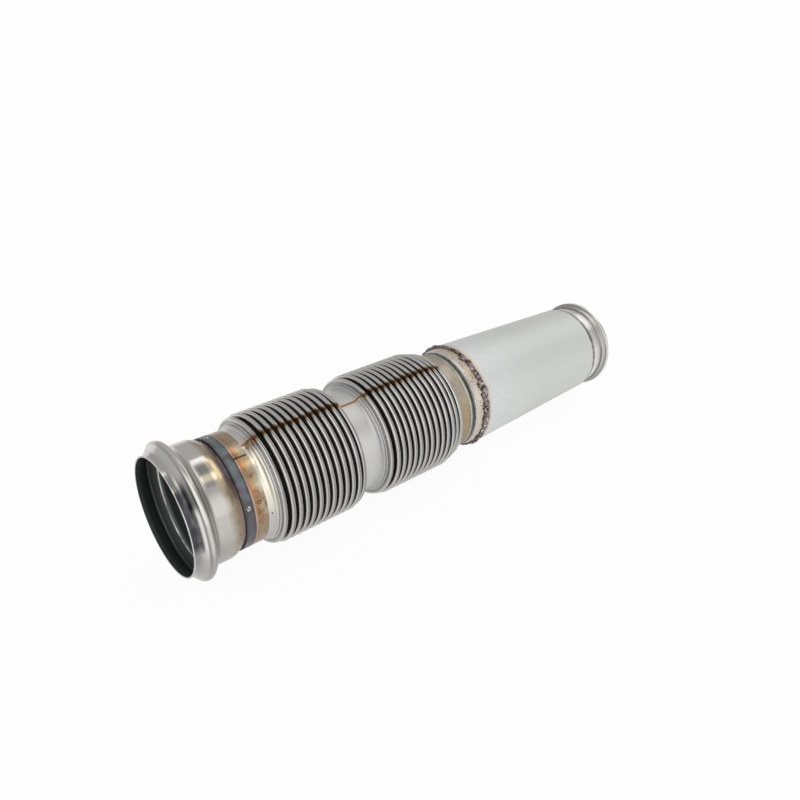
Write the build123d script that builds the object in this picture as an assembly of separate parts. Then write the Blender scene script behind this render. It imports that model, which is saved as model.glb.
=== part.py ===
"""Exhaust pipe with a two-section bellows, in millimetres.

The axis of the pipe is the X axis. The origin is the centre of the inlet mouth, +X runs with the gas
towards the outlet flange and +Z is up, so the pipe lies on its side.
Angles round the axis are measured from +Y towards +Z.
"""
import math
import os
from collections import namedtuple

from build123d import *

# Inlet socket, a pressed bell that takes the pipe before it
inlet_bore_radius = 62.5
socket_wall = 1.5
mouth_straight = 3.6
bead_radius = 73.9
bead_crown_bend = 4.2
bead_foot_bend = 4.5
bead_flank_angle = 50.0
shoulder_length = 14.7
shoulder_bend = 14.0
shoulder_angle = 27.0
neck_bend = 8.0
neck_length = 4.8

# Bellows, one hydroformed tube of several thin plies that work as one wall
cuff_radius = 59.2
bellows_wall = 0.9
convolution_pitch = 8.17
crown_radius = 72.0
end_crown_radius = 69.8
last_crown_radius = 67.5
crown_bend = 2.5
root_radius = 60.2
crowns_per_section = 13
near_cuff_length = 23.9
sleeve_length = 20.5

# Shoulder before each group: a slope, a low ridge and a shallow dip up to the first crown
slope_angle = 55.0
slope_foot_bend = 4.0
ridge_radius = 63.4
ridge_bend = 2.0
ridge_fall_angle = 15.0
ridge_fall_length = 0.6
dip_bend = 1.2

# Foot behind each group, where the last flank meets the sleeve or the cuff
drop_bend = 3.0

# Band and collar over the joint of socket and bellows
seat_clearance = 0.1
band_width = 10.4
band_wall = 1.2
band_overlap = 4.6
collar_width = 14.2
collar_wall = 1.5
collar_gap = 0.3
slit_width = 1.8
slit_angle = 118.0
tack_count = 4
first_tack_angle = 76.0
tack_radius = 2.6
tack_height = 1.1
spot_radius = 2.4
spot_height = 0.35
spot_angle = 164.0
spot_inset = 6.5

# Flow liner inside the bellows, fixed at its flared end only
liner_wall = 1.0
liner_radius = 55.6
liner_flare_length = 12.0
liner_flare_angle = 20.0
liner_bend = 6.0
liner_length = 296.0

# Outlet side of the bellows
end_ring_width = 6.6
end_ring_height = 1.2
end_ring_wall = 0.3
end_ring_place = 16.6
lip_gap = 1.2
adapter_wall = 1.5
adapter_lip_length = 4.0
adapter_flare_length = 10.4
adapter_spigot = 14.0
lip_clearance = 0.6

# Outlet pipe, slightly conical
pipe_start_radius = 64.9
pipe_end_radius = 57.15
pipe_wall = 1.5
pipe_length = 216.0

# Welds
weld_reach = 6.5
weld_rise = 0.7
flange_weld_size = 1.7
lip_weld_size = 1.0

# Outlet flange, a stepped ring with a flared rim
flange_wall = 2.0
flange_spigot = 6.0
flange_neck_length = 18.0
flange_neck_radius = 54.4
flange_step_radius = 56.4
flange_step_length = 3.0
flange_rim_radius = 58.8
flange_rim_length = 2.4
flange_bend = 1.2

# A run is a straight stretch, a bend is an arc that turns left (up, away from the axis) or right
Run = namedtuple("Run", "length")
Bend = namedtuple("Bend", "radius angle")


def point_at(angle, length):
    return Vector(length * math.cos(math.radians(angle)), length * math.sin(math.radians(angle)))


def skin(start, moves, inset):
    """Edges of one skin of a bent sheet, at a distance inside the outer skin."""
    heading = 0.0
    here = Vector(*start) - Vector(0, inset)
    edges = []
    for move in moves:
        if isinstance(move, Run):
            there = here + point_at(heading, move.length)
            edges.append(Line(here, there))
        else:
            side = 1 if move.angle > 0 else -1
            radius = move.radius + side * inset
            edges.append(JernArc(here, point_at(heading, 1), radius, move.angle))
            there = edges[-1] @ 1
            heading += move.angle
        here = there
    return edges


def sheet_section(start, moves, wall):
    """Section of a bent sheet: its outer skin, its inner skin and its two cut ends."""
    outer = skin(start, moves, 0)
    inner = skin(start, moves, wall)
    ends = [Line(outer[0] @ 0, inner[0] @ 0), Line(outer[-1] @ 1, inner[-1] @ 1)]
    return make_face([*outer, *inner, *ends])


def path_end(start, moves):
    """Point where the outer skin of a bent sheet ends."""
    return skin(start, moves, 0)[-1] @ 1


def turned(section, arc=360.0):
    return revolve(section, Axis.X, arc)


def rise_of(bend_radius, angle, heading=0.0):
    """How far a bend climbs from its first heading through its angle."""
    return bend_radius * (math.cos(math.radians(heading)) - math.cos(math.radians(heading + angle)))


def run_for_rise(rise, angle):
    return rise / math.sin(math.radians(angle))


# Inlet socket

def socket_moves():
    mouth_radius = inlet_bore_radius + socket_wall
    flank_rise = bead_radius - mouth_radius
    flank_rise -= rise_of(bead_foot_bend, bead_flank_angle) + rise_of(bead_crown_bend, bead_flank_angle)
    flank = run_for_rise(flank_rise, bead_flank_angle)
    neck_drop = mouth_radius - neck_radius()
    neck_drop -= rise_of(shoulder_bend, shoulder_angle) + rise_of(neck_bend, shoulder_angle)
    return [
        Run(mouth_straight),
        Bend(bead_foot_bend, bead_flank_angle),
        Run(flank),
        Bend(bead_crown_bend, -2 * bead_flank_angle),
        Run(flank),
        Bend(bead_foot_bend, bead_flank_angle),
        Run(shoulder_length),
        Bend(shoulder_bend, -shoulder_angle),
        Run(run_for_rise(neck_drop, shoulder_angle)),
        Bend(neck_bend, shoulder_angle),
        Run(neck_length),
    ]


def neck_radius():
    """The neck is as thick as the cuff, the weld and the band's seat need."""
    return cuff_radius - bellows_wall + socket_wall


def socket_start():
    return (0, inlet_bore_radius + socket_wall)


def inlet_socket():
    return turned(sheet_section(socket_start(), socket_moves(), socket_wall))


# Bellows

def flank_length(top_radius):
    """Straight radial flank between a root bend and a crown bend."""
    return top_radius - crown_bend - root_radius - root_bend()


def root_bend():
    """What is left of the pitch after the crown is the gap, and its bend is half of it."""
    return convolution_pitch / 2 - crown_bend


def shoulder_moves():
    """From the cuff over the ridge and the dip up to the first crown."""
    slope_rise = ridge_radius - cuff_radius
    slope_rise -= rise_of(slope_foot_bend, slope_angle) + rise_of(ridge_bend, slope_angle)
    climb = [
        Bend(slope_foot_bend, slope_angle),
        Run(run_for_rise(slope_rise, slope_angle)),
        Bend(ridge_bend, -slope_angle - ridge_fall_angle),
        Run(ridge_fall_length),
        Bend(dip_bend, ridge_fall_angle + 90),
    ]
    flank = end_crown_radius - crown_bend - path_end((0, cuff_radius), climb).Y
    return [*climb, Run(flank)]


def crown_radii():
    """The first and last crowns of a group are lower."""
    return [end_crown_radius, *[crown_radius] * (crowns_per_section - 2), end_crown_radius]


def section_moves(radii):
    """One group of convolutions, from the shoulder before it to the foot behind its last crown."""
    moves = [*shoulder_moves(), Bend(crown_bend, -180)]
    for before, after in zip(radii, radii[1:]):
        moves += [
            Run(flank_length(before)),
            Bend(root_bend(), 180),
            Run(flank_length(after)),
            Bend(crown_bend, -180),
        ]
    drop = radii[-1] - crown_bend - drop_bend - cuff_radius
    return [*moves, Run(drop), Bend(drop_bend, 90)]


def bellows_moves():
    """The second group has one crown more, which is lower still."""
    first = section_moves(crown_radii())
    second = section_moves([*crown_radii(), last_crown_radius])
    return [Run(near_cuff_length), *first, Run(sleeve_length), *second, Run(far_cuff_length())]


def bellows_start():
    return (path_end(socket_start(), socket_moves()).X, cuff_radius)


def bellows():
    return turned(sheet_section(bellows_start(), bellows_moves(), bellows_wall))


# Band, collar and their welds

def ring_section(start, inner_radius, width, wall):
    corners = [
        (start, inner_radius),
        (start + width, inner_radius),
        (start + width, inner_radius + wall),
        (start, inner_radius + wall),
    ]
    return make_face(Polyline(*corners, close=True))


def band_start():
    return bellows_start()[0] - band_overlap


def band_outer_radius():
    return neck_radius() + seat_clearance + band_wall


def retaining_band():
    return turned(ring_section(band_start(), neck_radius() + seat_clearance, band_width, band_wall))


def collar_start():
    return band_start() + band_width + collar_gap


def collar_outer_radius():
    return cuff_radius + seat_clearance + collar_wall


def split_collar():
    section = ring_section(collar_start(), cuff_radius + seat_clearance, collar_width, collar_wall)
    slit_degrees = math.degrees(slit_width / collar_outer_radius())
    ring = turned(section, 360 - slit_degrees)
    return Rot(X=slit_angle + slit_degrees / 2) * ring


def button(place, carrier_radius, radius, height, angle):
    """A low domed weld spot that sits on a round surface."""
    ball_radius = (radius ** 2 + height ** 2) / (2 * height)
    ball = Pos(place, carrier_radius + height - ball_radius, 0) * Sphere(ball_radius)
    carrier = Rot(Y=90) * Cylinder(carrier_radius, 4 * ball_radius)
    cap = ball - Pos(place, 0, 0) * carrier
    return Rot(X=angle) * cap


def band_tack_welds():
    middle = band_start() + band_width / 2
    spots = [
        button(middle, band_outer_radius(), tack_radius, tack_height, first_tack_angle + turn * 360 / tack_count)
        for turn in range(tack_count)
    ]
    return Compound(spots)


def collar_spot_weld():
    place = collar_start() + spot_inset
    return button(place, collar_outer_radius(), spot_radius, spot_height, spot_angle)


def socket_weld():
    """Bead over the butt joint, in the space that the band leaves above the thinner cuff."""
    joint = bellows_start()[0]
    width = band_width - band_overlap
    return turned(ring_section(joint, cuff_radius, width, neck_radius() - cuff_radius))


# Flow liner

def liner_moves():
    flare_radius = cuff_radius - bellows_wall - seat_clearance
    drop = flare_radius - liner_radius - 2 * rise_of(liner_bend, liner_flare_angle)
    moves = [
        Run(liner_flare_length),
        Bend(liner_bend, -liner_flare_angle),
        Run(run_for_rise(drop, liner_flare_angle)),
        Bend(liner_bend, liner_flare_angle),
    ]
    return moves + [Run(liner_length - path_end((0, 0), moves).X)]


def flow_liner():
    start = bellows_start()[0] - liner_flare_length / 2
    flare_radius = cuff_radius - bellows_wall - seat_clearance
    return turned(sheet_section((start, flare_radius), liner_moves(), liner_wall))


# End ring and outlet adapter

def far_cuff_length():
    """The far cuff carries the end ring and ends inside the straight lip of the adapter."""
    return end_ring_place + end_ring_width + lip_gap + adapter_lip_length - lip_clearance


def far_cuff_start():
    return path_end(bellows_start(), bellows_moves()).X - far_cuff_length()


def end_ring_start():
    return far_cuff_start() + end_ring_place


def end_ring():
    """Half-round ring on the far cuff."""
    start = end_ring_start()
    seat = cuff_radius + seat_clearance
    foot = seat + end_ring_wall
    crown = (start + end_ring_width / 2, foot + end_ring_height - end_ring_wall)
    outline = [
        Line((start, seat), (start + end_ring_width, seat)),
        Line((start + end_ring_width, seat), (start + end_ring_width, foot)),
        ThreePointArc((start + end_ring_width, foot), crown, (start, foot)),
        Line((start, foot), (start, seat)),
    ]
    return turned(make_face(outline))


def adapter_start():
    return end_ring_start() + end_ring_width + lip_gap


def pipe_start():
    return adapter_start() + adapter_lip_length + adapter_flare_length


def pipe_end():
    return pipe_start() + pipe_length


def pipe_radius(past_start):
    """Outer radius of the cone at a distance from its larger end."""
    return pipe_start_radius + (pipe_end_radius - pipe_start_radius) * past_start / pipe_length


def lip_radius():
    return cuff_radius + seat_clearance + adapter_wall


def outlet_adapter():
    """Lip on the cuff, flare, and a spigot that runs inside the pipe at the pipe's own taper."""
    outer = [
        (adapter_start(), lip_radius()),
        (adapter_start() + adapter_lip_length, lip_radius()),
        (pipe_start(), spigot_radius(0)),
        (pipe_start() + adapter_spigot, spigot_radius(adapter_spigot)),
    ]
    outline = outer + [(place, radius - adapter_wall) for place, radius in reversed(outer)]
    return turned(make_face(Polyline(*outline, close=True)))


def spigot_radius(past_start):
    """Outer radius of the adapter inside the pipe."""
    return pipe_radius(past_start) - pipe_wall - seat_clearance


def lip_weld():
    """Small fillet between the cuff and the end of the adapter's lip."""
    edge = adapter_start()
    seat = cuff_radius
    corners = [(edge - lip_weld_size, seat), (edge, seat), (edge, seat + lip_weld_size)]
    return turned(make_face(Polyline(*corners, close=True)))


# Outlet pipe and its welds

def outlet_pipe():
    corners = [
        (pipe_start(), pipe_start_radius),
        (pipe_end(), pipe_end_radius),
        (pipe_end(), pipe_end_radius - pipe_wall),
        (pipe_start(), pipe_start_radius - pipe_wall),
    ]
    return turned(make_face(Polyline(*corners, close=True)))


def adapter_weld():
    """Fillet from the adapter's flare over the end of the pipe."""
    edge = pipe_start()
    flare_rise = spigot_radius(0) - lip_radius()
    toe = (edge - weld_reach, spigot_radius(0) - flare_rise * weld_reach / adapter_flare_length)
    far_toe = (edge + weld_reach, pipe_radius(weld_reach))
    crown = (edge, pipe_start_radius + weld_rise)
    outline = [
        Line(toe, (edge, spigot_radius(0))),
        Line((edge, spigot_radius(0)), (edge, pipe_start_radius)),
        Line((edge, pipe_start_radius), far_toe),
        ThreePointArc(far_toe, crown, toe),
    ]
    return turned(make_face(outline))


# Outlet flange

def flange_start():
    return pipe_end() - flange_spigot


def flange_moves():
    """Neck, step, rim: each change of radius is one bend out and one bend back."""
    step = flange_step_radius - flange_neck_radius
    rim = flange_rim_radius - flange_step_radius
    step_angle = math.degrees(math.acos(1 - step / (2 * flange_bend + flange_wall)))
    rim_angle = math.degrees(math.acos(1 - rim / (2 * flange_bend + flange_wall)))
    return [
        Run(flange_spigot + flange_neck_length),
        Bend(flange_bend, step_angle),
        Bend(flange_bend + flange_wall, -step_angle),
        Run(flange_step_length),
        Bend(flange_bend, rim_angle),
        Bend(flange_bend + flange_wall, -rim_angle),
        Run(flange_rim_length),
    ]


def outlet_flange():
    start = (flange_start(), flange_neck_radius)
    return turned(sheet_section(start, flange_moves(), flange_wall))


def flange_weld():
    """Fillet between the end of the pipe and the flange's neck."""
    toe = (pipe_end() + flange_weld_size, flange_neck_radius)
    corners = [(pipe_end(), flange_neck_radius), toe, (pipe_end(), pipe_end_radius)]
    return turned(make_face(Polyline(*corners, close=True)))


sub_parts = [
    inlet_socket,
    socket_weld,
    retaining_band,
    band_tack_welds,
    split_collar,
    collar_spot_weld,
    flow_liner,
    bellows,
    end_ring,
    lip_weld,
    outlet_adapter,
    adapter_weld,
    outlet_pipe,
    flange_weld,
    outlet_flange,
]

os.makedirs("parts", exist_ok=True)
for make in sub_parts:
    export_step(make(), f"parts/{make.__name__}.step")
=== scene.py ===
import math

import bpy
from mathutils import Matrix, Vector, noise

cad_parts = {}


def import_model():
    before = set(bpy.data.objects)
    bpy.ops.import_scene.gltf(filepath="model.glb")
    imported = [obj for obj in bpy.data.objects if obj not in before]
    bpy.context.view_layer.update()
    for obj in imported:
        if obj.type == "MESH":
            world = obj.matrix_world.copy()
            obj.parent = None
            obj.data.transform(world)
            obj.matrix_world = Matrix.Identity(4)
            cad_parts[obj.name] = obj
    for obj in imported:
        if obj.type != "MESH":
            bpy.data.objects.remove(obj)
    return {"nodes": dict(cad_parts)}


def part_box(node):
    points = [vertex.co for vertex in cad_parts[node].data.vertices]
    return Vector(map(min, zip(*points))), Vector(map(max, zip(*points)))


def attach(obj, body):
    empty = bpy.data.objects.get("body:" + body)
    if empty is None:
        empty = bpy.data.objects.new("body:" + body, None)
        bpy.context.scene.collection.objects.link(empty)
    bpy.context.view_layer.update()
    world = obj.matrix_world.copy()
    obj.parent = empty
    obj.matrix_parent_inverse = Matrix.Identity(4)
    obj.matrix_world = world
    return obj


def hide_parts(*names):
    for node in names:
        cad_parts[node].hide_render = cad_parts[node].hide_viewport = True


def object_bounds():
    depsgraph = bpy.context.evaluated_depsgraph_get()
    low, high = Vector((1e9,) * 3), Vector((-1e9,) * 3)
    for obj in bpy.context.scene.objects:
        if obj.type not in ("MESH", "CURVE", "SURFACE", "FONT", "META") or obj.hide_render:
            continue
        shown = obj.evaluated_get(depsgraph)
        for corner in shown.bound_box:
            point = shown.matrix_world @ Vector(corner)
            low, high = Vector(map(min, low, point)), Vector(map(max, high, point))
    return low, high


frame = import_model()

cad_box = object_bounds()
MM = 0.001


def span(node):
    """First and last place of a node along the pipe, in millimetres."""
    low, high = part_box(node)
    return low.x / MM, high.x / MM


def reach(node):
    """Outer radius of a node, in millimetres."""
    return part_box(node)[1].y / MM


# Places along the pipe and sizes, in millimetres; angles round it are in degrees from +Y towards +Z
BAND = span("retaining_band")
COLLAR = span("split_collar")
BELLOWS = span("bellows")
RING = span("end_ring")
ADAPTER = span("outlet_adapter")
WELD = span("adapter_weld")
PIPE = span("outlet_pipe")
FLANGE = span("outlet_flange")
ADAPTER_RADIUS = reach("outlet_adapter")
PIPE_RADIUS = reach("outlet_pipe")
FIRST_SHOULDER_END = BELLOWS[0] + 33
SLEEVE = (BELLOWS[0] + 137, BELLOWS[0] + 160)
SECOND_SHOULDER_END = BELLOWS[0] + 168
FAR_CUFF = BELLOWS[0] + 281.0
CROWN_PITCH = 8.17
GROOVE_GROUPS = ((BELLOWS[0] + 39.16, 12), (BELLOWS[0] + 174.37, 13))
# The first groove of each group, behind a lower crown
FIRST_GROUP_START = (BELLOWS[0] + 35, BELLOWS[0] + 43)
SECOND_GROUP_START = (BELLOWS[0] + 170.5, BELLOWS[0] + 178.5)
GROOVE_LIP_RADIUS = 69.9
LOWER_CROWN_DROP = 3.4
# The sleeve, the cuffs and the shoulders' ridges lie within this radius, the crowns rise beyond it
PLAIN_REACH = 64.0
SEAM_ANGLE = 109.5
PLAIN_SEAM_ANGLE = 106.2
SLIT_ANGLE = 118.0
SPOT_ANGLE = 164.0
NECK_FLECK = (48.2, -173)
SHOULDER_FLECK = (86.2, -178)


def paint(red, green, blue):
    """A colour as it looks on screen, 0 to 255, as linear light."""
    def linear(value):
        value /= 255
        return value / 12.92 if value <= 0.04045 else ((value + 0.055) / 1.055) ** 2.4
    return (linear(red), linear(green), linear(blue), 1.0)


def direction(azimuth, elevation):
    """Unit vector, from degrees from +X towards +Y and degrees up."""
    turn, lift = math.radians(azimuth), math.radians(elevation)
    return Vector((math.cos(lift) * math.cos(turn), math.cos(lift) * math.sin(turn), math.sin(lift)))


class Nodes:
    """Short calls for building a node tree."""

    def __init__(self, tree):
        self.tree = tree

    def add(self, kind, *inputs, **settings):
        node = self.tree.nodes.new(kind)
        for name, value in settings.items():
            setattr(node, name, value)
        for socket, value in zip(node.inputs, inputs):
            self.put(socket, value)
        return node

    def put(self, socket, value):
        if value is None:
            return
        if isinstance(value, bpy.types.NodeSocket):
            self.tree.links.new(value, socket)
        else:
            socket.default_value = value

    def math(self, operation, first, second=None):
        return self.add("ShaderNodeMath", first, second, operation=operation).outputs[0]

    def vector(self, operation, first, second=None, scale=None):
        node = self.add("ShaderNodeVectorMath", first, second, operation=operation)
        if scale is not None:
            self.put(node.inputs["Scale"], scale)
        return node.outputs["Value" if operation == "DOT_PRODUCT" else "Vector"]

    def fade(self, value, start, end):
        """0 at start and 1 at end, smooth between."""
        node = self.add("ShaderNodeMapRange", interpolation_type="SMOOTHSTEP")
        self.put(node.inputs["Value"], value)
        self.put(node.inputs["From Min"], start)
        self.put(node.inputs["From Max"], end)
        return node.outputs["Result"]

    def scale(self, value, low, high, from_low=0.0, from_high=1.0):
        """Moves a value from one range to another, and stops at its ends."""
        node = self.add("ShaderNodeMapRange")
        self.put(node.inputs["Value"], value)
        self.put(node.inputs["From Min"], from_low)
        self.put(node.inputs["From Max"], from_high)
        self.put(node.inputs["To Min"], low)
        self.put(node.inputs["To Max"], high)
        return node.outputs["Result"]

    def length(self, first, second):
        """Length of a way that goes by two parts at right angles."""
        squares = [self.math("MULTIPLY", part, part) for part in (first, second)]
        return self.math("SQRT", self.math("ADD", *squares))

    def mix(self, factor, first, second):
        node = self.add("ShaderNodeMix", data_type="RGBA")
        self.put(node.inputs[0], factor)
        self.put(node.inputs[6], first)
        self.put(node.inputs[7], second)
        return node.outputs[2]


class Graph(Nodes):
    """A material's node tree, in the pipe's own millimetres."""

    def __init__(self, name):
        self.material = bpy.data.materials.new(name)
        self.material.use_nodes = True
        super().__init__(self.material.node_tree)
        self.shader = self.tree.nodes["Principled BSDF"]
        place = self.add("ShaderNodeTexCoord").outputs["Object"]
        self.place = self.vector("SCALE", place, scale=1 / MM)
        axes = self.add("ShaderNodeSeparateXYZ", self.place)
        self.x, self.y, self.z = axes.outputs
        self.angle = self.math("ARCTAN2", self.z, self.y)
        self.radius = self.length(self.y, self.z)

    def noise(self, scale, detail=3.0, stretch=(1, 1, 1), roughness=0.5, shift=(0, 0, 0)):
        """Fractal noise from 0 to 1. The scale is per millimetre, the stretch is per axis."""
        node = self.add("ShaderNodeTexNoise")
        place = self.vector("ADD", self.vector("MULTIPLY", self.place, stretch), shift)
        self.put(node.inputs["Vector"], place)
        self.put(node.inputs["Scale"], scale)
        self.put(node.inputs["Detail"], detail)
        self.put(node.inputs["Roughness"], roughness)
        return node.outputs["Fac"]

    def wave(self, scale, size, detail=2.0):
        """Noise about zero, to make an edge wander by about half the size each way."""
        return self.math("MULTIPLY", self.math("SUBTRACT", self.noise(scale, detail), 0.5), 2 * size)

    def wandering_x(self, scale, size, detail=2.0):
        """The place along the pipe, made to wander by about half the size each way."""
        return self.math("ADD", self.x, self.wave(scale, size, detail))

    def ramp(self, value, stops):
        """A colour ramp over stops of (value, colour), in the value's own units."""
        low, high = stops[0][0], stops[-1][0]
        node = self.add("ShaderNodeValToRGB")
        points = node.color_ramp.elements
        while len(points) < len(stops):
            points.new(0.5)
        for point, (place, colour) in zip(points, stops):
            point.position = (place - low) / (high - low)
            point.color = colour
        self.put(node.inputs["Fac"], self.scale(value, 0.0, 1.0, low, high))
        return node.outputs["Color"]

    def inside(self):
        """1 on a wall that faces the axis, 0 on one that faces out."""
        normal = self.add("ShaderNodeNewGeometry").outputs["Normal"]
        out = self.vector("MULTIPLY", self.place, (0, 1, 1))
        facing = self.vector("DOT_PRODUCT", normal, out)
        return self.fade(facing, 2.0, -2.0)

    def beside(self, angle, wobble=None):
        """Distance in millimetres, round the surface, from a line at an angle."""
        away = self.math("SUBTRACT", self.angle, math.radians(angle))
        if wobble is not None:
            away = self.math("ADD", away, wobble)
        return self.math("MULTIPLY", self.math("ABSOLUTE", away), self.radius)

    def near(self, angle, gone, full):
        """1 within some degrees of an angle round the pipe, and 0 beyond some more."""
        towards = (0, math.cos(math.radians(angle)), math.sin(math.radians(angle)))
        facing = self.math("DIVIDE", self.vector("DOT_PRODUCT", self.place, towards), self.radius)
        return self.fade(facing, math.cos(math.radians(gone)), math.cos(math.radians(full)))

    def around(self, x, angle):
        """Distance in millimetres, over the surface, from one point on it."""
        along = self.math("SUBTRACT", self.x, x)
        return self.length(along, self.beside(angle))

    def both(self, first, second):
        """1 where two shares are both 1, or a share times an amount."""
        return self.math("MULTIPLY", first, second)

    def cover(self, colour, share, amount, over):
        """A colour with another laid over it, by a share times an amount."""
        return self.mix(self.both(share, amount), colour, over)

    def between(self, start, end, soft=0.5):
        """1 between two places along the pipe, 0 outside them."""
        begun = self.fade(self.x, start - soft, start + soft)
        return self.both(begun, self.fade(self.x, end + soft, end - soft))

    def bump(self, height, strength, depth_mm):
        node = self.add("ShaderNodeBump")
        self.put(node.inputs["Strength"], strength)
        self.put(node.inputs["Distance"], depth_mm * MM)
        self.put(node.inputs["Height"], height)
        return node.outputs["Normal"]

    def finish(self, colour, roughness, metallic, normal):
        self.put(self.shader.inputs["Base Color"], colour)
        self.put(self.shader.inputs["Roughness"], roughness)
        self.put(self.shader.inputs["Metallic"], metallic)
        self.put(self.shader.inputs["Normal"], normal)
        return self.material


# Colours
STEEL = paint(207, 206, 203)
STEEL_WARM = paint(206, 202, 197)
STEEL_DIM = paint(184, 183, 180)
CROWN_TOP_SHADE = paint(150, 150, 148)
BARE_INSIDE = paint(84, 89, 86)
GROOVE_DARK = paint(112, 114, 112)
TAN = paint(176, 158, 128)
VIOLET = paint(112, 98, 104)
ALUMINISED = paint(212, 214, 209)
ALUMINISED_COOL = paint(220, 223, 223)


def scuffed(graph, low, high, scale=0.1):
    """A roughness between two values in soft patches."""
    return graph.scale(graph.noise(scale, 2), low, high, 0.3, 0.7)


def rolled_lines(graph):
    """Fine lines that run round the pipe, left by rolling and pressing."""
    return graph.noise(1.0, 1, stretch=(0.9, 0.012, 0.012))


def smudged(graph, colour, amount=0.35):
    """The colour with fine lines and large dull patches over it."""
    lines = graph.math("MULTIPLY", rolled_lines(graph), amount)
    patches = graph.scale(graph.noise(0.045, 4, shift=(7, 3, 1)), 0.0, amount, 0.45, 0.75)
    return graph.mix(graph.math("MAXIMUM", lines, patches), colour, STEEL_DIM)


def sheet(graph, colour, low, high, glint=None):
    """Finishes bare sheet metal: bright outside, dull and dark on the wall that faces the axis.

    A glint is the share of that wall painted with a bright highlight.
    """
    inside = graph.inside()
    hidden = BARE_INSIDE if glint is None else graph.mix(glint, BARE_INSIDE, paint(250, 250, 246))
    colour = graph.mix(inside, colour, hidden)
    roughness = graph.math("MAXIMUM", scuffed(graph, low, high), graph.math("MULTIPLY", inside, 0.45))
    metallic = graph.scale(inside, 1.0, 0.7)
    if glint is not None:
        metallic = graph.math("SUBTRACT", metallic, graph.both(graph.both(inside, glint), 0.5))
    return graph.finish(colour, roughness, metallic, graph.bump(rolled_lines(graph), 0.1, 0.05))


def socket_material():
    graph = Graph("socket_steel")
    colour = smudged(graph, STEEL_WARM, 0.25)

    # Painted reflections round the bead: dark and bright rings from the mouth on, strongest on the near
    # side
    painted_reflection_rings = graph.ramp(graph.wandering_x(0.05, 0.5), [
        (0.0, paint(150, 150, 150)),
        (5.0, paint(160, 160, 159)),
        (9.0, paint(236, 234, 230)),
        (11.4, paint(236, 234, 230)),
        (12.6, paint(140, 138, 134)),
        (15.0, paint(228, 225, 220)),
        (18.8, paint(122, 120, 115)),
        (21.5, paint(196, 193, 187)),
        (24.0, paint(158, 154, 148)),
        (28.0, STEEL_WARM),
    ])
    near_side = graph.near(158, 52, 26)
    on_bead = graph.fade(graph.x, 28.0, 26.0)
    colour = graph.mix(graph.both(on_bead, graph.scale(near_side, 0.35, 1.0)), colour, painted_reflection_rings)
    # Painted shade: darker on the low side
    low = graph.both(graph.scale(graph.x, 0.55, 0.4, 26.0, 32.0), graph.fade(graph.z, 6, -18))
    colour = graph.mix(low, colour, paint(148, 147, 145))

    # Painted dark reflection on the near side of the mouth
    dark_reflection = graph.both(graph.near(154, 34, 22), graph.fade(graph.x, 10.6, 8.6))
    dark_reflection = graph.both(dark_reflection, graph.scale(graph.noise(0.12, 3, stretch=(2.5, 1, 1)), 0.8, 1.0, 0.3, 0.6))
    colour = graph.mix(dark_reflection, colour, paint(72, 71, 75))
    # Painted highlight along the edge of the mouth
    colour = graph.mix(graph.fade(graph.x, 0.9, 0.3), colour, paint(236, 236, 234))

    # Painted shade: a dull patch behind the bead, between two bright places, that dims the highlight
    # there
    dimmed_highlight = graph.both(graph.near(122, 15, 7), graph.between(30.0, 39.5, 1.5))
    colour = graph.cover(colour, dimmed_highlight, 0.85, paint(152, 150, 145))

    # Heat tint beside the band: slate on top and a lighter brown on the near side, with a painted
    # highlight as a pale patch
    place = graph.wandering_x(0.035, 6.0, 3)
    tint = graph.ramp(place, [
        (BAND[0] - 20, STEEL_WARM),
        (BAND[0] - 14, paint(184, 176, 164)),
        (BAND[0] - 9, paint(162, 149, 130)),
        (BAND[0] - 4, paint(138, 118, 100)),
        (BAND[0] - 1, paint(112, 92, 84)),
        (BAND[0] + 1, VIOLET),
    ])
    pale = graph.both(graph.near(124, 22, 6), graph.fade(place, BAND[0] - 6, BAND[0] - 11))
    tint = graph.cover(tint, pale, 0.75, paint(240, 220, 178))
    slate = graph.both(graph.near(108, 40, 22), graph.fade(place, BAND[0] - 7, BAND[0] - 2))
    tint = graph.cover(tint, slate, 0.75, paint(76, 76, 84))
    near_tone = graph.both(graph.near(182, 32, 12), graph.fade(graph.x, BAND[0] - 8, BAND[0] - 3))
    tint = graph.cover(tint, near_tone, 0.7, paint(148, 134, 124))
    colour = graph.mix(graph.fade(place, BAND[0] - 20, BAND[0] - 12), colour, tint)
    stains = graph.scale(graph.noise(0.1, 3, shift=(3, 3, 8)), 0.0, 0.5, 0.5, 0.68)
    stains = graph.both(stains, graph.fade(graph.x, BAND[0] - 22, BAND[0] - 6))
    colour = graph.mix(stains, colour, paint(134, 112, 92))

    # One small brown fleck low on the neck
    fleck = graph.fade(graph.around(*NECK_FLECK), 1.5, 0.5)
    colour = graph.cover(colour, fleck, 0.8, paint(96, 66, 48))

    # Painted highlights inside: bright rings, one where the bead's hollow ends, one on the plain wall
    # behind it
    glint_rings = graph.math("MAXIMUM", graph.between(23.6, 24.6, 0.5), graph.between(34.6, 35.4, 0.5))
    glint_rings = graph.both(glint_rings, graph.scale(graph.noise(0.05, 2, shift=(6, 1, 1)), 0.2, 1.0, 0.4, 0.6))
    return sheet(graph, colour, 0.13, 0.2, glint=glint_rings)


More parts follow.
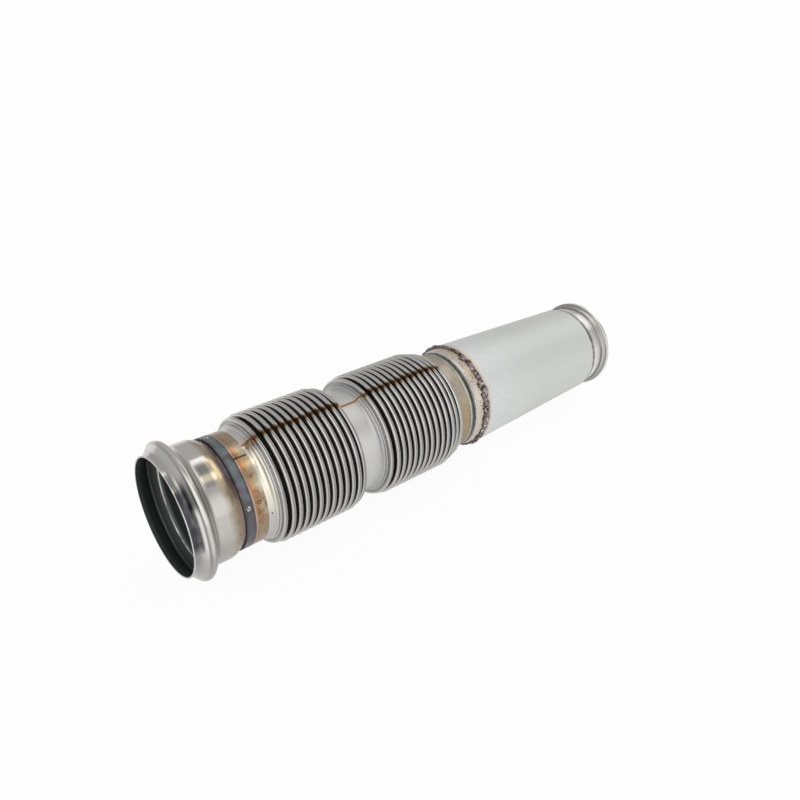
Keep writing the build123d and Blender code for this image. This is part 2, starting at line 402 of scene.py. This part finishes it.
def band_material():
    graph = Graph("band_scale")
    colour = graph.ramp(graph.noise(0.05, 2, shift=(0, 4, 9)), [
        (0.34, paint(96, 96, 94)),
        (0.45, paint(110, 113, 112)),
        (0.53, paint(114, 127, 127)),
        (0.6, paint(118, 115, 128)),
        (0.7, paint(102, 95, 98)),
    ])
    colour = graph.cover(colour, graph.near(178, 34, 14), 0.5, paint(84, 86, 84))
    middle = (BAND[0] + BAND[1]) / 2
    half = (BAND[1] - BAND[0]) / 2
    away = graph.math("ABSOLUTE", graph.math("SUBTRACT", graph.x, middle))
    away = graph.math("ADD", away, graph.wave(0.16, 2.2, 3))
    edge = graph.ramp(graph.noise(0.09, 2, shift=(5, 1, 2)), [
        (0.4, paint(92, 82, 96)),
        (0.6, paint(76, 62, 58)),
    ])
    colour = graph.cover(colour, graph.fade(away, half - 3.2, half + 0.4), 0.85, edge)
    fine = graph.noise(0.9, 3)
    return graph.finish(colour, scuffed(graph, 0.3, 0.42), 0.85, graph.bump(fine, 0.25, 0.08))


def collar_material():
    graph = Graph("collar_heat_tint")
    place = graph.wandering_x(0.06, 5.5, 3)
    colour = graph.ramp(place, [
        (COLLAR[0], paint(164, 138, 124)),
        (COLLAR[0] + 2.2, paint(172, 126, 94)),
        (COLLAR[0] + 4.6, paint(204, 156, 112)),
        (COLLAR[0] + 7.4, paint(208, 182, 144)),
        (COLLAR[0] + 10.0, paint(206, 200, 176)),
        (COLLAR[1] + 2.5, paint(208, 208, 196)),
    ])
    stain = graph.scale(graph.noise(0.07, 2, shift=(2, 8, 5)), 0.0, 0.85, 0.46, 0.64)
    colour = graph.mix(stain, colour, paint(186, 158, 128))
    spots = graph.scale(graph.noise(0.11, 2, shift=(9, 2, 4)), 0.0, 0.75, 0.54, 0.66)
    spots = graph.both(spots, graph.fade(graph.x, COLLAR[1] - 1, COLLAR[0] + 8))
    colour = graph.mix(spots, colour, paint(146, 96, 68))
    grey_top = graph.near(84, 30, 14)
    top_tone = graph.ramp(graph.noise(0.3, 3, stretch=(2, 1, 1)), [
        (0.4, paint(150, 138, 122)),
        (0.56, paint(164, 146, 122)),
        (0.62, paint(150, 104, 80)),
    ])
    colour = graph.cover(colour, grey_top, 0.8, top_tone)
    brown_side = graph.both(graph.near(170, 22, 8), graph.fade(place, COLLAR[0] + 1, COLLAR[0] + 5))
    broken = graph.scale(graph.noise(0.1, 3, shift=(6, 6, 2)), 0.45, 0.9, 0.4, 0.58)
    colour = graph.mix(graph.both(brown_side, broken), colour, paint(138, 106, 80))
    pale_edge = graph.fade(graph.x, COLLAR[0] + 3.0, COLLAR[0] + 1.5)
    pale_edge = graph.both(graph.near(178, 24, 10), pale_edge)
    colour = graph.cover(colour, pale_edge, 0.7, paint(180, 166, 154))
    low_side = graph.fade(graph.z, 6, -18)
    colour = graph.cover(colour, low_side, 0.8, paint(152, 136, 118))
    rim = graph.fade(graph.x, COLLAR[0] + 1.2, COLLAR[0] + 0.3)
    colour = graph.cover(colour, rim, 0.7, paint(214, 190, 172))
    return graph.finish(colour, scuffed(graph, 0.2, 0.3), 1.0, graph.bump(rolled_lines(graph), 0.1, 0.05))


def spot_material():
    """The round resistance weld: a rusty ring round a plain middle."""
    graph = Graph("spot_weld")
    low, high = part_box("collar_spot_weld")
    away = graph.around((low.x + high.x) / 2 / MM, SPOT_ANGLE)
    away = graph.math("ADD", away, graph.wave(0.8, 0.3))
    colour = graph.ramp(away, [
        (0.0, paint(178, 146, 112)),
        (1.0, paint(168, 128, 96)),
        (1.6, paint(112, 70, 52)),
        (2.1, paint(130, 90, 66)),
        (2.6, paint(170, 140, 108)),
    ])
    return graph.finish(colour, scuffed(graph, 0.3, 0.5), 0.9, graph.bump(graph.noise(1.4, 3), 0.4, 0.12))


def groove_distance(graph):
    """Distance in millimetres, along the pipe, from the middle of the nearest groove."""
    nearest = None
    for first, count in GROOVE_GROUPS:
        along = graph.math("SUBTRACT", graph.x, first)
        number = graph.math("ROUND", graph.math("DIVIDE", along, CROWN_PITCH))
        number = graph.math("MINIMUM", graph.math("MAXIMUM", number, 0), count - 1)
        groove = graph.math("MULTIPLY", number, CROWN_PITCH)
        away = graph.math("ABSOLUTE", graph.math("SUBTRACT", along, groove))
        nearest = away if nearest is None else graph.math("MINIMUM", nearest, away)
    return nearest


def bellows_material():
    graph = Graph("bellows_steel")
    colour = smudged(graph, STEEL, 0.15)
    groove = groove_distance(graph)

    # Painted shade: the rolled top of each crown is painted darker than its sides, most on the near side,
    # and is rougher
    from_crown = graph.math("ABSOLUTE", graph.math("SUBTRACT", groove, CROWN_PITCH / 2))
    top = graph.both(graph.fade(from_crown, 1.5, 0.6), graph.fade(graph.radius, 66, 69))
    top = graph.both(top, graph.scale(graph.near(165, 75, 35), 0.35, 1.0))
    colour = graph.mix(top, colour, CROWN_TOP_SHADE)

    # Painted highlight on the first shoulder: pale and a little yellow on the near side
    shoulder = graph.both(graph.between(COLLAR[1], COLLAR[1] + 9, 1.5), graph.near(142, 46, 20))
    colour = graph.cover(colour, shoulder, 0.85, paint(246, 240, 224))

    # The plain sleeve between the two groups, the shoulder after it and the far cuff are matt
    matt = graph.math("MAXIMUM", graph.between(SLEEVE[0], SECOND_SHOULDER_END, 1.5),
                      graph.fade(graph.x, FAR_CUFF - 1, FAR_CUFF + 2))
    colour = graph.cover(colour, matt, 0.6, paint(216, 216, 213))
    grey = graph.between(SLEEVE[1], SECOND_SHOULDER_END, 1.5)
    colour = graph.cover(colour, grey, 0.6, paint(172, 172, 170))

    # Lengthwise seam: burnt beside each groove, fainter on top of a crown, thin on the plain stretches
    on_crown = graph.fade(graph.radius, PLAIN_REACH, PLAIN_REACH + 3.5)
    seam = graph.beside(SEAM_ANGLE, graph.wave(0.12, 0.02))
    spread = graph.scale(graph.noise(0.14, 2, shift=(4, 4, 0)), 0.7, 1.25, 0.35, 0.65)
    near_groove = graph.fade(groove, 4.0, 2.0)
    spread = graph.math("MULTIPLY", spread, graph.scale(near_groove, 0.95, 1.25))
    seam = graph.math("DIVIDE", seam, spread)
    burnt = graph.ramp(seam, [
        (0.0, paint(58, 40, 28)),
        (1.6, paint(80, 56, 40)),
        (2.8, paint(122, 96, 72)),
        (4.6, paint(172, 158, 138)),
        (8.0, STEEL),
    ])
    faint = graph.ramp(seam, [
        (0.0, paint(100, 68, 46)),
        (1.6, paint(138, 106, 78)),
        (3.0, paint(176, 158, 136)),
        (7.0, STEEL),
    ])
    spots = graph.mix(near_groove, faint, burnt)
    colour = graph.mix(graph.both(on_crown, graph.fade(seam, 8.0, 3.0)), colour, spots)
    line = graph.beside(PLAIN_SEAM_ANGLE, graph.wave(0.1, 0.005))
    tones = graph.ramp(line, [
        (0.0, paint(128, 94, 62)),
        (0.8, paint(172, 138, 98)),
        (1.8, paint(206, 192, 166)),
        (3.2, STEEL),
    ])
    plain = graph.both(graph.math("SUBTRACT", 1.0, on_crown), graph.fade(line, 3.2, 1.2))
    colour = graph.mix(graph.both(plain, graph.fade(graph.x, FAR_CUFF, FAR_CUFF - 4)), colour, tones)

    # One small dark fleck on the first shoulder
    fleck = graph.fade(graph.around(*SHOULDER_FLECK), 1.2, 0.6)
    colour = graph.mix(fleck, colour, paint(44, 38, 34))

    # Brown flare of the seam on the first shoulder, beside the collar
    flare = graph.fade(graph.around(COLLAR[1] + 8, SEAM_ANGLE), 13.0, 2.0)
    flare = graph.both(flare, graph.scale(graph.noise(0.25, 3), 0.4, 1.0, 0.35, 0.6))
    colour = graph.cover(colour, flare, 0.85, paint(128, 88, 56))

    # Heat tint of the far cuff: grey on top, tan below
    cuff = graph.fade(graph.wandering_x(0.08, 2.0), FAR_CUFF - 1.5, FAR_CUFF + 3)
    tan = graph.mix(graph.fade(graph.z, 44, 6), paint(188, 179, 163), TAN)
    tan = graph.mix(graph.scale(graph.noise(0.12, 3), 0.0, 0.5, 0.45, 0.7), tan, paint(150, 134, 112))
    colour = graph.mix(cuff, colour, tan)

    # Painted shade in the grooves between crowns and on the cuff under the collar's slit
    slit = graph.fade(graph.beside(SLIT_ANGLE), 1.6, 1.0)
    slit = graph.both(graph.between(COLLAR[0] - 1, COLLAR[1] + 0.2, 0.2), slit)
    lower = graph.math("MAXIMUM", graph.between(*FIRST_GROUP_START), graph.between(*SECOND_GROUP_START))
    lip = graph.math("SUBTRACT", GROOVE_LIP_RADIUS, graph.both(lower, LOWER_CROWN_DROP))
    depth = graph.math("SUBTRACT", lip, graph.radius)
    hollow = graph.both(graph.fade(groove, 1.95, 1.6), graph.fade(depth, -0.7, 0.7))
    dark = graph.math("MAXIMUM", hollow, slit)
    colour = graph.mix(dark, colour, GROOVE_DARK)

    inside = graph.inside()
    colour = graph.mix(inside, colour, GROOVE_DARK)
    hidden = graph.math("MAXIMUM", dark, inside)
    first_shoulder = graph.between(COLLAR[1] + 4, FIRST_SHOULDER_END, 1.5)
    roughness = scuffed(graph, 0.2, 0.26)
    for share, dullness in ((top, 0.3), (hidden, 0.6), (matt, 0.42), (first_shoulder, 0.34)):
        roughness = graph.math("MAXIMUM", roughness, graph.both(share, dullness))
    return graph.finish(colour, roughness, 1.0, graph.bump(rolled_lines(graph), 0.06, 0.04))


def liner_material():
    graph = Graph("liner_steel")
    return sheet(graph, smudged(graph, paint(104, 104, 102)), 0.3, 0.45)


def ring_material():
    """The end ring: a bright rounded edge, a painted highlight, then a dark greenish hollow down to the
    adapter's lip, partly oxide and partly painted shade.
    """
    graph = Graph("end_ring_steel")
    colour = graph.ramp(graph.wandering_x(0.15, 0.6), [
        (RING[0], paint(204, 200, 190)),
        (RING[0] + 1.2, paint(188, 186, 176)),
        (RING[0] + 2.4, paint(120, 122, 112)),
        (RING[0] + 3.8, paint(84, 88, 82)),
        (RING[1], paint(66, 68, 64)),
    ])
    return sheet(graph, colour, 0.25, 0.4)


def adapter_material():
    graph = Graph("adapter_steel")
    place = graph.wandering_x(0.16, 2.6, 4)
    colour = graph.ramp(place, [
        (ADAPTER[0], paint(218, 216, 210)),
        (ADAPTER[0] + 3.0, paint(214, 208, 198)),
        (WELD[0] + 1.0, paint(216, 208, 196)),
        (WELD[0] + 4.0, paint(204, 186, 166)),
        (WELD[0] + 7.0, paint(128, 106, 98)),
    ])
    beads = graph.noise(0.6, 2, shift=(3, 1, 6))
    crowding = graph.fade(graph.x, ADAPTER[0] + 2.0, WELD[0] + 2.0)
    rarity = graph.scale(crowding, 0.63, 0.54)
    spatter = graph.fade(graph.math("SUBTRACT", beads, rarity), 0.0, 0.06)
    tone = graph.ramp(graph.noise(0.35, 2), [
        (0.38, paint(104, 70, 54)),
        (0.5, paint(156, 112, 78)),
        (0.6, paint(200, 168, 128)),
    ])
    colour = graph.mix(spatter, colour, tone)
    inside = graph.inside()
    colour = graph.mix(inside, colour, BARE_INSIDE)
    return graph.finish(colour, scuffed(graph, 0.3, 0.42), 1.0, graph.bump(beads, 0.4, 0.25))


def pipe_material():
    graph = Graph("aluminised_steel")
    along = graph.wandering_x(0.03, 30.0, 3)
    colour = graph.mix(graph.fade(along, PIPE[0] + 10, PIPE[0] + 110), ALUMINISED_COOL, ALUMINISED)
    spangle = graph.scale(graph.noise(0.3, 3, stretch=(0.5, 1, 1)), 0.0, 0.3, 0.45, 0.7)
    colour = graph.mix(spangle, colour, paint(200, 203, 201))
    place = graph.wandering_x(0.18, 4.5, 4)
    halo = graph.ramp(place, [
        (PIPE[0] + 3, paint(158, 128, 112)),
        (PIPE[0] + 6, paint(214, 190, 168)),
        (PIPE[0] + 9, paint(228, 216, 202)),
        (PIPE[0] + 14, ALUMINISED_COOL),
    ])
    speckle = graph.scale(graph.noise(0.9, 2, shift=(1, 7, 3)), 0.35, 1.0, 0.4, 0.6)
    near = graph.fade(place, PIPE[0] + 14, PIPE[0] + 7)
    colour = graph.mix(graph.both(near, speckle), colour, halo)
    burnt = graph.fade(graph.wandering_x(0.16, 2.2, 3), PIPE[1] - 2.4, PIPE[1] - 0.6)
    colour = graph.cover(colour, burnt, 0.85, paint(88, 82, 76))
    inside = graph.inside()
    colour = graph.mix(inside, colour, BARE_INSIDE)
    grain = graph.bump(graph.noise(1.5, 4), 0.12, 0.05)
    return graph.finish(colour, scuffed(graph, 0.4, 0.5), 0.35, grain)


def flange_material():
    graph = Graph("flange_steel")
    # A dark burnt line at the weld, then a painted highlight across the middle of the neck
    colour = graph.ramp(graph.wandering_x(0.14, 2.2, 3), [
        (PIPE[1] + 1.0, paint(84, 78, 72)),
        (PIPE[1] + 3.6, paint(104, 99, 93)),
        (PIPE[1] + 5.4, paint(176, 172, 165)),
        (PIPE[1] + 9.5, paint(236, 234, 230)),
        (PIPE[1] + 14.0, paint(206, 205, 200)),
        (FLANGE[1] - 12.0, paint(188, 187, 182)),
        (FLANGE[1], paint(228, 227, 222)),
    ])
    # Painted shade in the two steps of the flange
    steps = graph.math("MAXIMUM", graph.between(FLANGE[1] - 12.8, FLANGE[1] - 11.0, 1.0),
                       graph.between(FLANGE[1] - 5.6, FLANGE[1] - 4.2, 0.7))
    colour = graph.cover(colour, steps, 0.7, paint(84, 84, 81))
    return sheet(graph, colour, 0.13, 0.2)


def weld_material():
    graph = Graph("weld_bead")
    colour = graph.ramp(graph.noise(0.3, 4), [
        (0.3, paint(80, 70, 64)),
        (0.42, paint(124, 114, 108)),
        (0.52, paint(150, 146, 142)),
        (0.62, paint(140, 146, 150)),
        (0.7, paint(150, 122, 98)),
    ])
    grain = graph.bump(graph.noise(1.5, 5), 0.6, 0.25)
    return graph.finish(colour, scuffed(graph, 0.3, 0.5, 0.8), 0.85, grain)


def bead_material():
    """The fillet's finish: grey and blue scale with dark pits, bright specks and burnt edges."""
    graph = Graph("fillet_bead")
    colour = graph.ramp(graph.noise(0.24, 4, roughness=0.62), [
        (0.38, paint(48, 38, 36)),
        (0.45, paint(108, 92, 86)),
        (0.5, paint(158, 152, 152)),
        (0.54, paint(124, 142, 156)),
        (0.58, paint(168, 132, 106)),
        (0.64, paint(228, 222, 212)),
    ])
    toe = graph.add("ShaderNodeAttribute", attribute_name="toe").outputs["Fac"]
    toe = graph.math("ADD", toe, graph.wave(0.45, 0.5, 3))
    edge = graph.ramp(graph.noise(0.3, 3, shift=(5, 5, 5)), [
        (0.4, paint(62, 42, 36)),
        (0.6, paint(112, 88, 92)),
    ])
    colour = graph.cover(colour, graph.fade(toe, 0.3, 0.95), 0.85, edge)
    grain = graph.bump(graph.noise(0.8, 5), 1.0, 0.7)
    return graph.finish(colour, scuffed(graph, 0.25, 0.42, 0.5), 0.9, grain)


def tack_material():
    """Splashed tack weld: bright metal broken by burnt pits."""
    graph = Graph("tack_splash")
    splash = graph.noise(0.75, 3, shift=(3, 0, 5))
    colour = graph.ramp(splash, [
        (0.42, paint(72, 66, 68)),
        (0.48, paint(140, 136, 138)),
        (0.56, paint(232, 230, 228)),
    ])
    return graph.finish(colour, 0.28, 1.0, graph.bump(splash, 1.0, 0.9))


def mesh_piece(name, points, faces, material):
    mesh = bpy.data.meshes.new(name)
    mesh.from_pydata([Vector(point) * MM for point in points], [], faces)
    mesh.materials.append(material)
    for face in mesh.polygons:
        face.use_smooth = True
    piece = bpy.data.objects.new(name, mesh)
    bpy.context.collection.objects.link(piece)
    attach(piece, "root")
    return piece


def ring_noise(angle, scale, seed):
    """Smooth noise round the pipe that closes on itself, from -1 to 1."""
    return noise.noise(Vector((math.cos(angle) * scale, math.sin(angle) * scale, seed)))


# Waves of the fillet round the pipe: size, scale and seed of each
WANDER_WAVES = ((1.6, 5, 9.0), (1.2, 16, 1.0))
WIDTH_WAVES = ((0.5, 9, 3.0), (0.5, 30, 6.0))
HEIGHT_WAVES = ((0.6, 11, 5.0), (0.45, 44, 8.0))
# Lumps of the fillet: angle in degrees, then millimetres of shift along the pipe, of growth of the
# half width and of growth of the height
BEAD_LUMPS = (
    (115, 2.4, 0.8, 0.9),
    (151, 2.2, 1.8, 1.3),
    (60, 1.0, 0.9, 0.8),
    (214, -1.2, 1.2, 0.6),
    (300, 1.4, 1.2, 1.0),
)
BEAD_HALF_WIDTH = 3.1
BEAD_HEIGHT = 1.5
LUMP_REACH = 3.2
WIDE_ANGLE = 172
THIN_ANGLE = 84
RIPPLE_HEIGHT = 0.16
RIPPLE_RATE = 110
RIPPLE_BOW = 5
RIPPLE_WANDER = 3
ROUGH_HEIGHT = 0.55
ROUGH_SCALE = 0.55
ROUGH_SCALE_ROUND = 34


def waves(angle, parts):
    """Sum of smooth waves round the pipe."""
    return sum(size * ring_noise(angle, scale, seed) for size, scale, seed in parts)


def hill(angle, middle, width):
    """1 at a middle in degrees, and less with the distance from it. The width is in radians."""
    return math.exp(-((angle - math.radians(middle)) / width) ** 2)


def bead_place(angle):
    """Middle, half width and height of the fillet at an angle, in millimetres."""
    middle = PIPE[0] + 0.4 + waves(angle, WANDER_WAVES)
    half = BEAD_HALF_WIDTH * (1 + waves(angle, WIDTH_WAVES))
    height = BEAD_HEIGHT * (1 + waves(angle, HEIGHT_WAVES))
    half *= 1 + 0.35 * hill(angle, WIDE_ANGLE, 0.6)
    thin = hill(angle, THIN_ANGLE, 0.5)
    half *= 1 - 0.45 * thin
    height *= 1 - 0.35 * thin
    for place, shift, wider, higher in BEAD_LUMPS:
        away = (angle - math.radians(place) + math.pi) % math.tau - math.pi
        share = math.exp(-(away * PIPE_RADIUS / LUMP_REACH) ** 2)
        middle += shift * share
        half += wider * share
        height += higher * share
    return middle, half, height


def seat_radius(x):
    """Radius of the adapter and pipe under the fillet, eased over the pipe's cut end."""
    ease = 1.0
    share = min(max((x - PIPE[0] + ease) / (2 * ease), 0.0), 1.0)
    return ADAPTER_RADIUS + (PIPE_RADIUS - ADAPTER_RADIUS) * share * share * (3 - 2 * share)


def weld_bead():
    """Rough fillet between adapter and pipe: a crowned bead that wanders, swells and ripples."""
    steps = 1000
    arc = 16
    under = (-0.8, 0.8)
    edge_gap = 0.2
    toe_depth = 0.15
    skirt_depth = 0.7
    lowest, highest = WELD[0] + edge_gap, WELD[1] - edge_gap
    points, faces, toes = [], [], []
    for step in range(steps):
        angle = math.tau * step / steps
        round_y, round_z = math.cos(angle), math.sin(angle)
        middle, half, height = bead_place(angle)
        for index in range(arc + 1):
            across = 1 - 2 * index / arc
            x = min(max(middle + half * across, lowest), highest)
            crown = (1 - across * across) ** 0.6
            wander = RIPPLE_WANDER * ring_noise(angle, 6, 2.0)
            ripple = RIPPLE_HEIGHT * math.sin(angle * RIPPLE_RATE + RIPPLE_BOW * across * across + wander)
            spot = Vector((x * ROUGH_SCALE, round_y * ROUGH_SCALE_ROUND, round_z * ROUGH_SCALE_ROUND))
            rough = ROUGH_HEIGHT * noise.noise(spot)
            radius = seat_radius(x) - toe_depth + (height + ripple + rough) * crown
            points.append((x, radius * round_y, radius * round_z))
            toes.append(across * across)
        # Two points under the seat close the section
        for across in under:
            x = min(max(middle + half * across, lowest), highest)
            radius = seat_radius(x) - skirt_depth
            points.append((x, radius * round_y, radius * round_z))
            toes.append(1.0)
    count = arc + 1 + len(under)
    for step in range(steps):
        after = (step + 1) % steps
        for index in range(count):
            beside = (index + 1) % count
            here, there = step * count, after * count
            faces.append((here + index, there + index, there + beside, here + beside))
    piece = mesh_piece("weld_bead", points, faces, bead_material())
    toe = piece.data.attributes.new("toe", "FLOAT", "POINT")
    for item, value in zip(toe.data, toes):
        item.value = value
    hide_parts("adapter_weld")


def dress_nodes():
    """Gives each node of the CAD its material."""
    weld = weld_material()
    finishes = {
        "inlet_socket": socket_material(),
        "retaining_band": band_material(),
        "band_tack_welds": tack_material(),
        "split_collar": collar_material(),
        "collar_spot_weld": spot_material(),
        "bellows": bellows_material(),
        "flow_liner": liner_material(),
        "end_ring": ring_material(),
        "outlet_adapter": adapter_material(),
        "outlet_pipe": pipe_material(),
        "outlet_flange": flange_material(),
        "socket_weld": weld,
        "lip_weld": weld,
        "adapter_weld": weld,
        "flange_weld": weld,
    }
    for name, finish in finishes.items():
        for slot in frame["nodes"][name].material_slots:
            slot.material = finish


# Camera, floor and light

CAMERA_AZIMUTH = -39.98
CAMERA_ELEVATION = 29.14
CAMERA_PLACE = Vector((-0.1926, -0.5873, 0.4509))
CAMERA_LENS = 33.39


def camera():
    data = bpy.data.cameras.new("camera")
    data.lens = CAMERA_LENS
    data.sensor_width = 36
    data.clip_start = 0.01
    data.clip_end = 500
    eye = bpy.data.objects.new("camera", data)
    eye.location = CAMERA_PLACE
    eye.rotation_euler = (math.radians(90 - CAMERA_ELEVATION), 0, math.radians(CAMERA_AZIMUTH))
    bpy.context.collection.objects.link(eye)
    bpy.context.scene.camera = eye


FLOOR_HALF_SIZE = 100.0
FLOOR_OWN_WHITE = 0.94
FLOOR_MIRRORED_WHITE = 0.54


def floor():
    """White floor: partly its own white, and partly shaded white that keeps the pipe's soft shadow."""
    level = cad_box[0].z
    half = FLOOR_HALF_SIZE
    mesh = bpy.data.meshes.new("floor")
    corners = [(-half, -half, level), (half, -half, level), (half, half, level), (-half, half, level)]
    mesh.from_pydata(corners, [], [(0, 1, 2, 3)])
    material = bpy.data.materials.new("floor_white")
    material.use_nodes = True
    graph = Nodes(material.node_tree)
    graph.tree.nodes.clear()
    rays = graph.add("ShaderNodeLightPath")
    seen = graph.math("MULTIPLY", rays.outputs["Is Camera Ray"], FLOOR_OWN_WHITE)
    mirrored = graph.math("MAXIMUM", rays.outputs["Is Glossy Ray"], rays.outputs["Is Transmission Ray"])
    seen = graph.math("MAXIMUM", seen, graph.math("MULTIPLY", mirrored, FLOOR_MIRRORED_WHITE))
    shaded = graph.add("ShaderNodeBsdfDiffuse", (0.95, 0.95, 0.95, 1))
    own = graph.add("ShaderNodeEmission", (1, 1, 1, 1), 1.0)
    blend = graph.add("ShaderNodeMixShader", seen, shaded.outputs[0], own.outputs[0])
    graph.add("ShaderNodeOutputMaterial", blend.outputs[0])
    mesh.materials.append(material)
    plane = bpy.data.objects.new("floor", mesh)
    bpy.context.collection.objects.link(plane)


# The room's soft panels: azimuth and elevation of the middle, then how many degrees from it the
# panel is full and gone, and its level
ROOM_LEVEL = 0.6
PANELS = {
    "left_window": (-142, 30, 26, 54, 1.35),
    "front_wall": (-76, 4, 14, 44, 1.1),
    "far_window": (0, 45, 8, 27, 1.2),
    "back_wall": (115, 5, 25, 55, 0.54),
    "ceiling_middle": (20, 84, 5, 22, 0.45),
    "dark_doorway": (178, -3, 14, 34, 0.16),
}


def world():
    """A pale room with soft panels, plain white where the camera looks straight at it."""
    scene = bpy.context.scene
    scene.world = bpy.data.worlds.new("studio")
    scene.world.use_nodes = True
    graph = Nodes(scene.world.node_tree)
    graph.tree.nodes.clear()
    towards = graph.vector("NORMALIZE", graph.add("ShaderNodeTexCoord").outputs["Generated"])
    level = (ROOM_LEVEL, ROOM_LEVEL, ROOM_LEVEL, 1)
    for azimuth, elevation, full, gone, panel in PANELS.values():
        facing = graph.vector("DOT_PRODUCT", towards, direction(azimuth, elevation))
        share = graph.fade(facing, math.cos(math.radians(gone)), math.cos(math.radians(full)))
        level = graph.mix(share, level, (panel, panel, panel, 1))
    room = graph.add("ShaderNodeBackground", level, 1.0)
    white = graph.add("ShaderNodeBackground", (1, 1, 1, 1), 1.0)
    rays = graph.add("ShaderNodeLightPath")
    looked_at = rays.outputs["Is Camera Ray"]
    blend = graph.add("ShaderNodeMixShader", looked_at, room.outputs[0], white.outputs[0])
    graph.add("ShaderNodeOutputWorld", blend.outputs[0])
    scene.view_settings.view_transform = "Standard"


MOUTH = Vector((0.03, 0, 0))
LAMP_DISTANCE = 1.4


def softbox(name, azimuth, elevation, size, level, colour=(1, 1, 1)):
    """A soft area lamp, given by where it is seen from the mouth and by how bright its face is."""
    data = bpy.data.lights.new(name, "AREA")
    data.shape = "RECTANGLE"
    data.size, data.size_y = size
    data.energy = level * math.pi * size[0] * size[1]
    data.color = colour
    lamp = bpy.data.objects.new(name, data)
    towards = direction(azimuth, elevation)
    lamp.location = MOUTH + towards * LAMP_DISTANCE
    lamp.rotation_euler = (-towards).to_track_quat("-Z", "Y").to_euler()
    bpy.context.collection.objects.link(lamp)


dress_nodes()
weld_bead()
camera()
floor()
world()
softbox("window", 40, 64, (0.34, 0.24), 1.1)
softbox("warm_panel", -43, 63, (0.28, 0.28), 1.35, (1.0, 0.88, 0.64))
